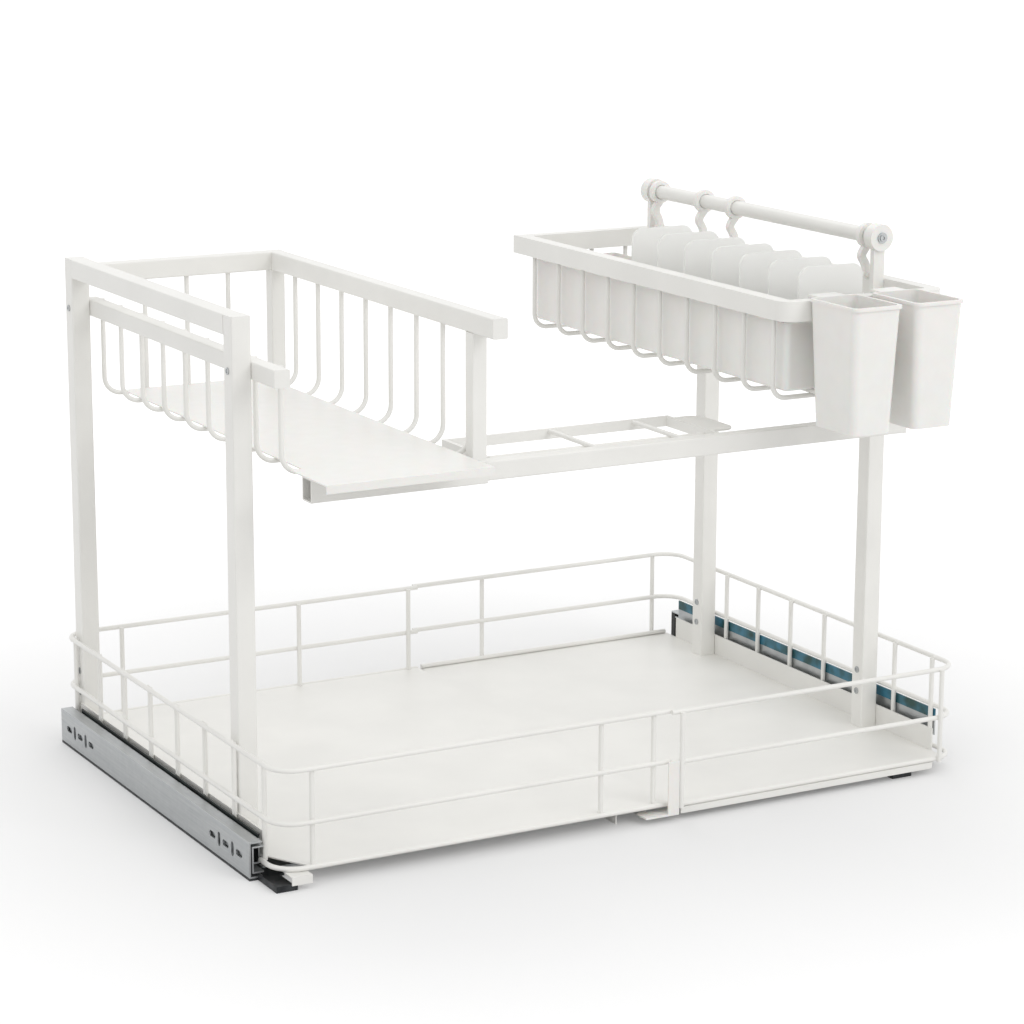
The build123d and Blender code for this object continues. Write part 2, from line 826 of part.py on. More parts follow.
with BuildPart() as shelf_uprights:
    for y, low_z in ((beam_y, sleeve_top), (back_rail_y, shelf_wire_z - wire_r)):
        upright_low = (right_rail_in_x, y, low_z)
        upright_high = (shelf_out_x, y + shelf_rail_width, shelf_rail_low)
        add(square_tube(upright_low, upright_high, Axis.Z, closed_ends=("low",)))
save("shelf_uprights", shelf_uprights)

# Shelf wires: bent wires from the low rail across to the right rail, and a back row
with BuildPart() as shelf_wires:
    wire_top = low_rail_top - shelf_wire_tip
    wire_first_y = front_y + shelf_wire_first
    wire_pitch = (back_rail_y - shelf_wire_last - wire_first_y) / (shelf_wire_count - 1)
    for number in range(shelf_wire_count):
        y = wire_first_y + number * wire_pitch
        wire(
            [
                (shelf_wire_left, y, wire_top),
                (shelf_wire_left, y, shelf_wire_z),
                (shelf_wire_right, y, shelf_wire_z),
                (shelf_wire_right, y, shelf_rail_low),
            ],
            bend=shelf_wire_bend,
        )
    wire(
        [
            (shelf_wire_left, back_wire_y, wire_top),
            (shelf_wire_left, back_wire_y, shelf_wire_z),
            (right_rail_in_x, back_wire_y, shelf_wire_z),
        ],
        bend=shelf_wire_bend,
    )
    back_span = right_rail_in_x - shelf_wire_left
    for number in range(shelf_back_wire_count):
        x = shelf_wire_left + back_span * (number + 1) / (shelf_back_wire_count + 1)
        wire([(x, back_wire_y, shelf_wire_z), (x, back_wire_y, shelf_rail_low)])
save("shelf_wires", shelf_wires)

# Shelf floor: a plate on the wires that reaches out over the cross beam and turns down in front
with BuildPart() as shelf_floor:
    plate_x = shelf_wire_left + shelf_wire_bend
    plate_end_x = shelf_wire_right - shelf_wire_bend
    lip_y = front_y - shelf_lip_reach
    plate_top = shelf_floor_low + shelf_floor_t
    block((plate_x, lip_y, shelf_floor_low), (plate_end_x, back_rail_y - gap, plate_top))
    lip_x = plate_x - shelf_lip_side
    lip_back_y = front_y + shelf_wire_first - wire_d
    block((lip_x, lip_y, shelf_floor_low), (plate_end_x, lip_back_y, plate_top))
    lip_low = shelf_floor_low - shelf_lip_drop
    block((lip_x, lip_y, lip_low), (plate_end_x, lip_y + shelf_floor_t, plate_top))
save("shelf_floor", shelf_floor)

# Telescoping beam: the sleeve under the shelf's front edge and the inner tube from the right
with BuildPart() as beam_sleeve:
    block(
        (sleeve_x, beam_y - sleeve_room, beam_low - sleeve_room),
        (sleeve_end_x, beam_back_y + sleeve_room, sleeve_top),
    )
    fillet(edges().filter_by(Axis.X), tube_corner_r)
    block(
        (sleeve_x - overrun, beam_y - sleeve_fit, beam_low - sleeve_fit),
        (sleeve_end_x + overrun, beam_back_y + sleeve_fit, beam_top + sleeve_fit),
        mode=Mode.SUBTRACT,
    )
save("beam_sleeve", beam_sleeve)

with BuildPart() as beam_inner:
    beam_start = (left_x + beam_from_left, beam_y, beam_low)
    add(square_tube(beam_start, (end_plate_x, beam_back_y, beam_top), Axis.X))
    block((end_plate_x, beam_y, beam_low), (right_post_in_x, right_post_y + post_side, beam_top))
save("beam_inner", beam_inner)

with BuildPart() as beam_rack:
    strip_low = beam_top - rack_strip_height
    rack_wire_z = beam_top - wire_r
    block((rack_x, rack_back_y - rack_strip_t, strip_low), (rack_end_x, rack_back_y, beam_top))
    block((rack_end_x - rack_strip_t, beam_back_y, strip_low), (rack_end_x, rack_back_y, beam_top))
    block(
        (rack_x, beam_back_y + sleeve_room + gap + wire_r, strip_low),
        (rack_x + rack_strip_t, rack_back_y, beam_top),
    )
    rack_mid_y = beam_back_y + rack_mid_offset
    for share in rack_wire_shares:
        x = rack_x + share * rack_length
        wire([(x, beam_back_y, rack_wire_z), (x, rack_back_y - rack_strip_t / 2, rack_wire_z)])
    mid_z = rack_wire_z - weld_step
    wire([(rack_x + rack_strip_t, rack_mid_y, mid_z), (rack_end_x - rack_strip_t, rack_mid_y, mid_z)])
    block(
        (rack_end_x, beam_back_y + rack_tab_inset, beam_top - rack_tab_t),
        (rack_end_x + rack_tab_length, rack_back_y - rack_tab_inset, beam_top),
    )
    fillet(
        edges().filter_by(Axis.Z).group_by(Axis.X)[-1],
        rack_tab_length / 2,
    )
save("beam_rack", beam_rack)

# Basket rim: a folded band, open underneath, with round front corners
def basket_layer(inset, low, high):
    """A block as wide as the basket less an inset all round, with round front corners."""
    with BuildPart(mode=Mode.PRIVATE) as layer:
        block(
            (basket_left + inset, basket_front + inset, low),
            (basket_right - inset, basket_back - inset, high),
        )
        fillet(edges().filter_by(Axis.Z).group_by(Axis.Y)[0], rim_corner_r - inset)
    return layer.part


with BuildPart() as basket_rim:
    inner_edge = rim_width - rim_sheet
    add(basket_layer(0, rim_low, rim_top))
    add(basket_layer(rim_sheet, rim_low - overrun, rim_top - rim_sheet), mode=Mode.SUBTRACT)
    add(basket_layer(inner_edge, rim_low, rim_top))
    add(basket_layer(rim_width, rim_low - overrun, rim_top + overrun), mode=Mode.SUBTRACT)
save("basket_rim", basket_rim)

# Basket wires: bent wires across, and long ones front to back that lie on them
with BuildPart() as basket_wires:
    wire_left = basket_left + rim_width / 2
    wire_right = basket_right - rim_width / 2
    wire_front = basket_front + rim_width / 2
    wire_back = basket_back - rim_width / 2
    wire_head = rim_top - rim_sheet
    wire_first_y = basket_front + basket_wire_first
    wire_pitch = (basket_back - basket_wire_last - wire_first_y) / (basket_wire_count - 1)
    for number in range(basket_wire_count):
        y = wire_first_y + number * wire_pitch
        wire(
            [
                (wire_left, y, wire_head),
                (wire_left, y, basket_wire_z),
                (wire_right, y, basket_wire_z),
                (wire_right, y, wire_head),
            ],
            bend=basket_wire_bend,
        )
    for number in range(basket_long_wires):
        x = wire_left + (wire_right - wire_left) * (number + 1) / (basket_long_wires + 1)
        wire(
            [
                (x, wire_front, wire_head),
                (x, wire_front, long_wire_z),
                (x, wire_back, long_wire_z),
                (x, wire_back, wire_head),
            ],
            bend=basket_wire_bend,
        )
save("basket_wires", basket_wires)

# Liner: a thin box with pairs of ribs that hold the dividers
divider_first_y = liner_y + divider_first
divider_pitch = (liner_end_y - divider_last - divider_first_y) / (divider_count - 1)
divider_ys = [divider_first_y + number * divider_pitch for number in range(divider_count)]
with BuildPart() as basket_liner:
    block((liner_x, liner_y, liner_low), (liner_end_x, liner_end_y, liner_top))
    fillet(edges().filter_by(Axis.Z), liner_corner_r)
    fillet(edges().group_by(Axis.Z)[0], liner_foot_r)
    block(
        (liner_x + liner_wall, liner_y + liner_wall, liner_floor),
        (liner_end_x - liner_wall, liner_end_y - liner_wall, liner_top + overrun),
        mode=Mode.SUBTRACT,
    )
    for y in divider_ys:
        rib_room = divider_t / 2 + divider_play
        for rib_y in (y - rib_room - rib_t, y + rib_room):
            for wall_x in (liner_x + liner_wall, liner_end_x - liner_wall - rib_depth):
                block((wall_x, rib_y, liner_floor), (wall_x + rib_depth, rib_y + rib_t, liner_top))
save("basket_liner", basket_liner)

# Dividers: a plate as wide as the liner's inside, with a narrower round-cornered top
for number, y in enumerate(divider_ys):
    with BuildPart() as divider:
        plate_x = liner_x + liner_wall + divider_play
        plate_end_x = liner_end_x - liner_wall - divider_play
        tab_end_x = plate_end_x - divider_tab_inset
        tab_start = (tab_end_x - divider_tab_width, y - divider_t / 2, liner_top)
        face_y = y - divider_t / 2
        block((plate_x, face_y, liner_floor + gap), (plate_end_x, face_y + divider_t, liner_top))
        block(tab_start, (tab_end_x, face_y + divider_t, rim_top + divider_tab_rise))
        fillet(edges().filter_by(Axis.Y).group_by(Axis.Z)[-1], divider_tab_r)
    save(f"divider_{number + 1}", divider)

# Towel bar between two bracket heads
with BuildPart() as towel_bar:
    disc((bar_x, bar_front_y, bar_z), (0, 1, 0), bar_d / 2, bar_back_y - bar_front_y)
save("towel_bar", towel_bar)


def bar_bracket(head_y, open_dir):
    """A round head that holds one end of the bar, on an arm down to the basket's right rail."""
    disc((bar_x, head_y - open_dir * head_wall, bar_z), (0, open_dir, 0), head_r, head_t)
    arm_y, arm_end_y = sorted((head_y, head_y + open_dir * arm_t))
    block((bar_x - arm_width / 2, arm_y, rim_low), (rim_in_right, arm_end_y, bar_z))
    disc((bar_x, head_y, bar_z), (0, open_dir, 0), bar_d / 2, head_t, mode=Mode.SUBTRACT)


with BuildPart() as front_bar_bracket:
    bar_bracket(bar_front_y, 1)
save("front_bar_bracket", front_bar_bracket)

with BuildPart() as back_bar_bracket:
    bar_bracket(bar_back_y, -1)
save("back_bar_bracket", back_bar_bracket)

# Ring hooks: a ring round the bar, a bent arm below it and a round peg
ring_in_r = bar_d / 2 + ring_fit
ring_out_r = ring_in_r + ring_wall
hook_reach = ring_t + peg_reach
bar_free_y = bar_front_y + head_t - head_wall
bar_free_length = bar_back_y - bar_front_y - 2 * (head_t - head_wall) - hook_reach
for number, share in enumerate(hook_place_shares):
    with BuildPart() as ring_hook:
        hook_y = bar_free_y + share * bar_free_length + peg_reach
        hook_plane = Plane((bar_x, hook_y, bar_z), x_dir=(1, 0, 0), z_dir=(0, -1, 0))
        with BuildSketch(hook_plane):
            Circle(ring_out_r)
            with BuildLine():
                arm_path = Spline(
                    (0, -ring_in_r - ring_wall / 2),
                    (-hook_sway, -ring_out_r - hook_arm_width),
                    (0, -hook_drop),
                    tangents=((-1, -1), (0, -1)),
                )
            trace(arm_path, line_width=hook_arm_width)
            with Locations((0, -hook_drop)):
                Circle(hook_arm_width / 2 + peg_r / 2)
            Circle(ring_in_r, mode=Mode.SUBTRACT)
        extrude(amount=-ring_t)
        disc((bar_x, hook_y, bar_z - hook_drop), (0, -1, 0), peg_r, peg_reach)
    save(f"ring_hook_{number + 1}", ring_hook)

# Cups: tapered, with a thin lip and a tab that hooks over the rim
for number in range(2):
    with BuildPart() as cup:
        cup_x = basket_left + cup_inset + number * cup_pitch
        foot = Plane((cup_x, cup_y, cup_top - cup_height))
        mouth = Plane((cup_x, cup_y, cup_top))
        with BuildSketch(foot):
            RectangleRounded(cup_foot_width, cup_foot_depth, cup_corner_r)
        with BuildSketch(mouth):
            RectangleRounded(cup_width, cup_depth, cup_corner_r)
        loft()
        with BuildSketch(mouth.offset(-cup_lip_height)):
            with Locations((0, -cup_lip / 2)):
                RectangleRounded(cup_width + cup_lip, cup_depth + cup_lip, cup_corner_r)
        extrude(amount=cup_lip_height)
        with BuildSketch(foot.offset(cup_wall)):
            inner_r = cup_corner_r - cup_wall
            RectangleRounded(cup_foot_width - 2 * cup_wall, cup_foot_depth - 2 * cup_wall, inner_r)
        with BuildSketch(mouth.offset(overrun)):
            RectangleRounded(cup_width - 2 * cup_wall, cup_depth - 2 * cup_wall, inner_r)
        loft(mode=Mode.SUBTRACT)
        tab_back = rim_in_front + gap + hook_tab_t
        block(
            (cup_x - hook_tab_width / 2, cup_y + cup_depth / 2 - cup_wall, cup_top - hook_tab_t),
            (cup_x + hook_tab_width / 2, tab_back, cup_top),
        )
        block(
            (cup_x - hook_tab_width / 2, tab_back - hook_tab_t, cup_top - hook_tab_drop),
            (cup_x + hook_tab_width / 2, tab_back, cup_top),
        )
    save(f"cup_{number + 1}", cup)

# Screw heads: two near each post's foot, one at each rail, and one with a washer at each bar end
with BuildPart() as left_frame_screws:
    for y in (left_post_y + post_side / 2, left_post_back_y - post_side / 2):
        for z in (low_screw_z, high_screw_z, low_rail_low + low_rail_height / 2):
            screw_head(left_post_x, y, z)
save("left_frame_screws", left_frame_screws)

with BuildPart() as right_frame_screws:
    for y in (right_post_y + post_side / 2, right_post_back_y - post_side / 2):
        for z in (low_screw_z, high_screw_z):
            screw_head(right_post_in_x, y, z)
        screw_head(rim_in_right, y, rim_low + rim_height / 2)
    for face_y, out in ((bar_front_y - head_wall, -1), (bar_back_y + head_wall, 1)):
        disc((bar_x, face_y, bar_z), (0, out, 0), end_screw_r, end_screw_t)
        disc((bar_x, face_y, bar_z), (0, out, 0), screw_head_r, end_screw_t + screw_head_t)
        socket((bar_x, face_y + out * (end_screw_t + screw_head_t), bar_z), (0, out, 0), screw_head_t)
save("right_frame_screws", right_frame_screws)
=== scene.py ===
# Expandable pull-out organizer for the floor of a sink cabinet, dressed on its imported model.
# Metres. +X runs along the adjustable width, +Y to the back of the cabinet, +Z up.
import math

import bmesh
import bpy
from mathutils import Matrix, Vector


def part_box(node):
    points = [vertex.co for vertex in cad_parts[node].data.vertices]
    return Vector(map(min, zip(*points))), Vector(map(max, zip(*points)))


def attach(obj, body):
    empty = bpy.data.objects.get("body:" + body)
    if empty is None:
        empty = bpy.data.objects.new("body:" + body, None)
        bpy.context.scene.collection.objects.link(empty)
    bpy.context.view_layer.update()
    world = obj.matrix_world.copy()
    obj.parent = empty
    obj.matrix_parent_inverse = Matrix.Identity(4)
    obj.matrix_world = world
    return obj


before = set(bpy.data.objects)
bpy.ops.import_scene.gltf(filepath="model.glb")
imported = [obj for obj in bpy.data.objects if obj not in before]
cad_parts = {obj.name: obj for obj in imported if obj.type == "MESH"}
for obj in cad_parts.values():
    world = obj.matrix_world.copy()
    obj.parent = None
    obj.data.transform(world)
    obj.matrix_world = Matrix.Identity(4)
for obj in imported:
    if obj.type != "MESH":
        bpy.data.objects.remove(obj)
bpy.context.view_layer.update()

# Floor brackets and cross straps.
# Steel strip, cut and folded, zinc plated after punching. The brackets are screwed to the cabinet
# floor, and the straps of the two sides slide over each other.
MM = 0.001
ROLLING_PITCH = 1.4 * MM  # rolling lines are near 0.2 mm, drawn coarser so that they show
ROLLING_DEPTH = 0.1 * MM
LINE_STRETCH = 0.03
SPANGLE = 6 * MM
ZINC_SHADE = "B0B3B5"
ZINC_LIGHT = "C2C4C4"
ZINC_ROUGH_LOW = 0.4
ZINC_ROUGH_HIGH = 0.5


def linear(code):
    """An sRGB hex code as linear red, green, blue and alpha."""
    shares = [int(code[place:place + 2], 16) / 255 for place in (0, 2, 4)]
    straight = [c / 12.92 if c <= 0.04045 else ((c + 0.055) / 1.055) ** 2.4 for c in shares]
    return (*straight, 1.0)


def add_node(tree, kind, inputs=None, stops=(), **settings):
    """Adds one node. inputs maps its sockets to values or to other nodes' outputs.

    stops are the places and sRGB colours of a ramp.
    """
    made = tree.nodes.new(kind)
    for name, value in settings.items():
        setattr(made, name, value)
    if stops:
        for element, (position, code) in zip(made.color_ramp.elements, stops):
            element.position = position
            element.color = linear(code)
    for name, value in (inputs or {}).items():
        if isinstance(value, bpy.types.NodeSocket):
            tree.links.new(value, made.inputs[name])
        else:
            made.inputs[name].default_value = value
    return made


def new_finish(name):
    """An empty node material and its tree."""
    finish = bpy.data.materials.new(name)
    finish.use_nodes = True
    finish.node_tree.nodes.clear()
    return finish, finish.node_tree


# Rolled zinc: a matt grey metal with faint lines along the strip and cloudy spangle in its shine
zinc_plate, tree = new_finish("zinc_plated_steel")
place = add_node(tree, "ShaderNodeTexCoord")
along = add_node(tree, "ShaderNodeMapping",
                 {"Vector": place.outputs["Object"], "Scale": (1.0, LINE_STRETCH, 1.0)})
lines = add_node(tree, "ShaderNodeTexNoise",
                 {"Vector": along.outputs[0], "Scale": 1 / ROLLING_PITCH, "Detail": 3.0,
                  "Roughness": 0.6})
spangle = add_node(tree, "ShaderNodeTexVoronoi",
                   {"Vector": place.outputs["Object"], "Scale": 1 / SPANGLE})
tone = add_node(tree, "ShaderNodeValToRGB", {"Fac": lines.outputs["Fac"]},
                stops=((0.2, ZINC_SHADE), (0.8, ZINC_LIGHT)))
dull = add_node(tree, "ShaderNodeMapRange",
                {"Value": spangle.outputs["Distance"], "From Min": 0.0, "From Max": 0.8,
                 "To Min": ZINC_ROUGH_LOW, "To Max": ZINC_ROUGH_HIGH})
rolled = add_node(tree, "ShaderNodeBump",
                  {"Height": lines.outputs["Fac"], "Strength": 0.08, "Distance": ROLLING_DEPTH})
shader = add_node(tree, "ShaderNodeBsdfPrincipled",
                  {"Base Color": tone.outputs[0], "Metallic": 1.0, "Roughness": dull.outputs[0],
                   "Normal": rolled.outputs[0]})
add_node(tree, "ShaderNodeOutputMaterial", {"Surface": shader.outputs[0]})


def dress(finish, *names):
    """Puts a finish on CAD nodes whose shape is right."""
    for name in names:
        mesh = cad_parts[name].data
        mesh.materials.clear()
        mesh.materials.append(finish)


dress(zinc_plate, "left_cross_straps", "right_cross_straps")

# Plain zinc painted dark grey and a little uneven, as painted shade and painted dark reflection; it
# turns black where it faces away
BRACKET_DARK_CLOUD = 9 * MM
BRACKET_PAINTED_DARK = "2A2C2E"
BRACKET_PAINTED_GREY = "4A4C4E"
zinc_painted_dark, tree = new_finish("zinc_painted_dark_for_shade")
place = add_node(tree, "ShaderNodeTexCoord")
cloudy = add_node(tree, "ShaderNodeTexNoise",
                  {"Vector": place.outputs["Object"], "Scale": 1 / BRACKET_DARK_CLOUD, "Detail": 3.0})
tone = add_node(tree, "ShaderNodeValToRGB", {"Fac": cloudy.outputs["Fac"]},
                stops=((0.3, BRACKET_PAINTED_DARK), (0.7, BRACKET_PAINTED_GREY)))
shader = add_node(tree, "ShaderNodeBsdfPrincipled",
                  {"Base Color": tone.outputs[0], "Metallic": 0.8, "Roughness": 0.4})
add_node(tree, "ShaderNodeOutputMaterial", {"Surface": shader.outputs[0]})
# The floor brackets' zinc is painted dark here: painted shade, not a black finish
dress(zinc_painted_dark, "left_floor_bracket", "right_floor_bracket")

# Floor screws.
# Pan-head screws of zinc-plated steel with a small round dish in the head, driven through the holes
# of the brackets into the cabinet floor.
SCREW_STEPS = 32
# Radii and heights over the bracket in millimetres
SHANK_R = 2.0
SHANK_OFF_FLOOR = 0.1
HEAD_OFF_PLATE = 0.05
HEAD_PROFILE = (
    (3.8, HEAD_OFF_PLATE),
    (3.8, 0.55),
    (3.3, 1.35),
    (2.1, 1.95),
    (1.0, 2.1),
    (0.9, 1.2),
    (0.2, 1.0),
)
# From the slide's outer face, and from its front and back ends, to the holes
HOLE_LINE = 20 * MM
FRONT_HOLE = 20 * MM
BACK_HOLE = 36 * MM


def piece(name, mesh, finish, body):
    """Links one made mesh to the scene in its finish, carried by a body."""
    mesh.materials.append(finish)
    made = bpy.data.objects.new(name, mesh)
    bpy.context.scene.collection.objects.link(made)
    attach(made, body)
    return made


def turned_screw(name, profile, middle):
    """A mesh turned about Z from radii and heights, flat at both ends of its axis."""
    build = bmesh.new()
    rings = []
    for radius, height in profile:
        ring = []
        for step in range(SCREW_STEPS):
            angle = 2 * math.pi * step / SCREW_STEPS
            spot = (radius * math.cos(angle) * MM, radius * math.sin(angle) * MM, height * MM)
            ring.append(build.verts.new(spot))
        rings.append(ring)
    for lower, upper in zip(rings, rings[1:]):
        for step in range(SCREW_STEPS):
            after = (step + 1) % SCREW_STEPS
            build.faces.new((lower[step], lower[after], upper[after], upper[step]))
    build.faces.new(list(reversed(rings[0])))
    build.faces.new(rings[-1])
    bmesh.ops.recalc_face_normals(build, faces=build.faces)
    bmesh.ops.translate(build, verts=build.verts, vec=Vector(middle))
    mesh = bpy.data.meshes.new(name)
    build.to_mesh(mesh)
    build.free()
    for face in mesh.polygons:
        face.use_smooth = True
    return mesh


# The slide lies on the bracket's plate, so the slide's lower face is the plate's top
plate_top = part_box("left_slide_outer")[0][2]
shank_profile = ((SHANK_R, SHANK_OFF_FLOOR - plate_top / MM), (SHANK_R, HEAD_OFF_PLATE))
bracket_screws = (
    ("left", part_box("left_slide_outer"), 1, "base_left"),
    ("right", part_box("right_slide_outer"), -1, "base_right"),
)
for side, (low, high), inward, body in bracket_screws:
    outside = low[0] if inward == 1 else high[0]
    for end, y in (("front", low[1] + FRONT_HOLE), ("back", high[1] - BACK_HOLE)):
        name = f"{side}_{end}_floor_screw"
        middle = (outside + inward * HOLE_LINE, y, plate_top)
        piece(name, turned_screw(name, (*shank_profile, *HEAD_PROFILE), middle), zinc_plate, body)

# Slides.
# Three-part ball slides of rolled steel strip, zinc plated. The inner members have a dark teal chromate
# coat along their upper edge. On the left it is painted nearly black, as painted shade for the shadowed
# gap under the tray's edge.
dress(zinc_plate, "left_slide_outer", "right_slide_outer", "left_slide_middle", "right_slide_middle",
      "left_outer_cage", "right_outer_cage", "left_inner_cage", "right_inner_cage")

# The coat starts at this height over the floor
LEFT_SHADED_COAT_LOW = 27.6 * MM
RIGHT_COAT_LOW = 34.5 * MM
COAT_CLOUD = 16 * MM
# The left colours are painted shade, nearly black; the right ones are the teal coat itself
LEFT_PAINTED_SHADE_DARK = "0B1110"
LEFT_PAINTED_SHADE_PALE = "1A2522"
RIGHT_COAT_SHADE = "1B4440"
RIGHT_COAT_LIGHT = "3A7890"
COAT_METALLIC = 0.1


def chromate_coat(name, coat_low, shade, light):
    """Zinc plate with a cloudy chromate coat above one height, which hardly shines as metal."""
    finish, tree = new_finish(name)
    place = add_node(tree, "ShaderNodeTexCoord")
    split = add_node(tree, "ShaderNodeSeparateXYZ", {"Vector": place.outputs["Object"]})
    above = add_node(tree, "ShaderNodeMath", {0: split.outputs["Z"], 1: coat_low},
                     operation="GREATER_THAN")
    cloudy = add_node(tree, "ShaderNodeTexNoise",
                      {"Vector": place.outputs["Object"], "Scale": 1 / COAT_CLOUD, "Detail": 2.0})
    coat = add_node(tree, "ShaderNodeValToRGB", {"Fac": cloudy.outputs["Fac"]},
                    stops=((0.35, shade), (0.65, light)))
    plain = add_node(tree, "ShaderNodeValToRGB", {"Fac": cloudy.outputs["Fac"]},
                     stops=((0.3, ZINC_SHADE), (0.7, ZINC_LIGHT)))
    tone = add_node(tree, "ShaderNodeMix",
                    {0: above.outputs[0], 6: plain.outputs[0], 7: coat.outputs[0]}, data_type="RGBA")
    metal = add_node(tree, "ShaderNodeMapRange",
                     {"Value": above.outputs[0], "To Min": 1.0, "To Max": COAT_METALLIC})
    shader = add_node(tree, "ShaderNodeBsdfPrincipled",
                      {"Base Color": tone.outputs[2], "Metallic": metal.outputs[0], "Roughness": 0.42})
    add_node(tree, "ShaderNodeOutputMaterial", {"Surface": shader.outputs[0]})
    return finish


# Left slide: the same teal coat, painted nearly black as painted shade for its shadowed gap
dress(chromate_coat("teal_chromate_painted_shade", LEFT_SHADED_COAT_LOW, LEFT_PAINTED_SHADE_DARK, LEFT_PAINTED_SHADE_PALE),
      "left_slide_inner")
dress(chromate_coat("blue_green_chromate", RIGHT_COAT_LOW, RIGHT_COAT_SHADE, RIGHT_COAT_LIGHT),
      "right_slide_inner")

# Stops and levers: black acetal, moulded with a fine matt grain
GRAIN = 0.8 * MM
GRAIN_DEPTH = 0.05 * MM
ACETAL_BLACK = "141516"
acetal, tree = new_finish("black_acetal")
place = add_node(tree, "ShaderNodeTexCoord")
grain = add_node(tree, "ShaderNodeTexNoise",
                 {"Vector": place.outputs["Object"], "Scale": 1 / GRAIN, "Detail": 2.0})
skin = add_node(tree, "ShaderNodeBump",
                {"Height": grain.outputs["Fac"], "Strength": 0.15, "Distance": GRAIN_DEPTH})
shader = add_node(tree, "ShaderNodeBsdfPrincipled",
                  {"Base Color": linear(ACETAL_BLACK), "Roughness": 0.5, "Normal": skin.outputs[0]})
add_node(tree, "ShaderNodeOutputMaterial", {"Surface": shader.outputs[0]})
dress(acetal, "left_slide_stop", "right_slide_stop", "left_release_lever", "right_release_lever")

# Centre rail and glide.
# A folded steel channel in the organizer's own coat, under the joint of the two tray halves, with a
# strip of black acetal on top that the drawer rubs along.
PEEL_PITCH = 1.6 * MM  # orange peel is near 0.6 mm, drawn coarser so that it shows
PEEL_DEPTH = 0.06 * MM
COAT_DRIFT = 60 * MM
COAT_SHADE = "E9E8E4"
COAT_LIGHT = "EFEEEA"
COAT_ROUGH_LOW = 0.34
COAT_ROUGH_HIGH = 0.42

# Satin powder coat: a fine orange peel breaks up its highlights over an even warm white
powder_coat, tree = new_finish("off_white_powder_coat")
place = add_node(tree, "ShaderNodeTexCoord")
peel = add_node(tree, "ShaderNodeTexNoise",
                {"Vector": place.outputs["Object"], "Scale": 1 / PEEL_PITCH, "Detail": 1.0})
cloudy = add_node(tree, "ShaderNodeTexNoise",
                  {"Vector": place.outputs["Object"], "Scale": 1 / COAT_DRIFT, "Detail": 3.0})
tone = add_node(tree, "ShaderNodeValToRGB", {"Fac": cloudy.outputs["Fac"]},
                stops=((0.3, COAT_SHADE), (0.7, COAT_LIGHT)))
dull = add_node(tree, "ShaderNodeMapRange",
                {"Value": cloudy.outputs["Fac"], "From Min": 0.3, "From Max": 0.7,
                 "To Min": COAT_ROUGH_LOW, "To Max": COAT_ROUGH_HIGH})
skin = add_node(tree, "ShaderNodeBump",
                {"Height": peel.outputs["Fac"], "Strength": 0.1, "Distance": PEEL_DEPTH})
shader = add_node(tree, "ShaderNodeBsdfPrincipled",
                  {"Base Color": tone.outputs[0], "Roughness": dull.outputs[0],
                   "Normal": skin.outputs[0]})
add_node(tree, "ShaderNodeOutputMaterial", {"Surface": shader.outputs[0]})
dress(powder_coat, "centre_rail")
dress(acetal, "centre_glide")

# Tray halves and fences.
# Folded steel sheet with a fence of round wire spot-welded to it, powder coated as one piece.
dress(powder_coat, "left_tray", "right_tray", "left_fence", "right_fence")

# Weld beads sit in the corner between two crossed wires and have the same coat
FENCE_WIRE_R = 1.9 * MM
WELD_STEP = 2.85 * MM  # between the middles of two crossed wires
BEAD_LONG = 2.5 * MM
BEAD_THICK = 1.5 * MM
BEAD_WOBBLE = 0.1
BEAD_WAVES = (5, 4, 6)
CROSSING_HEIGHTS = (45.5 * MM, 85.0 * MM)
SIDE_UPRIGHTS = 8
# From the slide's ends in to the first and last upright, and below zero where one stands past an end
UPRIGHT_ROOM = {"left": (5.6 * MM, -1.8 * MM), "right": (-25.6 * MM, 49.3 * MM)}


def weld_beads(name, centres, body):
    """One mesh with an uneven bead at each crossing, thin from one wire to the other."""
    build = bmesh.new()
    for number, centre in enumerate(centres):
        made = bmesh.ops.create_icosphere(build, subdivisions=2, radius=1.0)
        for vert in made["verts"]:
            wave = math.sin(BEAD_WAVES[0] * vert.co.x + number)
            wave *= math.sin(BEAD_WAVES[1] * vert.co.y - number)
            wave *= math.sin(BEAD_WAVES[2] * vert.co.z)
            wide = BEAD_LONG * (1 + BEAD_WOBBLE * wave)
            flat = Vector((BEAD_THICK * vert.co.x, wide * vert.co.y, wide * vert.co.z))
            vert.co = flat + Vector(centre)
    for face in build.faces:
        face.smooth = True
    mesh = bpy.data.meshes.new(name)
    build.to_mesh(mesh)
    build.free()
    piece(name, mesh, powder_coat, body)


for side, inward, body in (("left", 1, "drawer_left"), ("right", -1, "drawer_right")):
    slide_low, slide_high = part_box(f"{side}_slide_outer")
    fence_low, fence_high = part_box(f"{side}_fence")
    wire_line = fence_low[0] + FENCE_WIRE_R if inward == 1 else fence_high[0] - FENCE_WIRE_R
    front_room, back_room = UPRIGHT_ROOM[side]
    first_y = slide_low[1] + front_room
    last_y = slide_high[1] - back_room
    pitch = (last_y - first_y) / (SIDE_UPRIGHTS - 1)
    crossings = [(wire_line + inward * WELD_STEP / 2, first_y + number * pitch, height)
                 for number in range(SIDE_UPRIGHTS) for height in CROSSING_HEIGHTS]
    weld_beads(f"{side}_fence_weld_beads", crossings, body)

# Joint clip.
# A flat strip of white polypropylene over the free wire ends of the right fence in front, with a foot
# that hooks under the left tray.
FLOW_CLOUD = 12 * MM
FLOW_DEPTH = 0.2 * MM
MOULDED_SHADE = "EBEAE6"
MOULDED_LIGHT = "F1F0ED"
POLYPROPYLENE_IOR = 1.49
LIGHT_REACH = 3 * MM

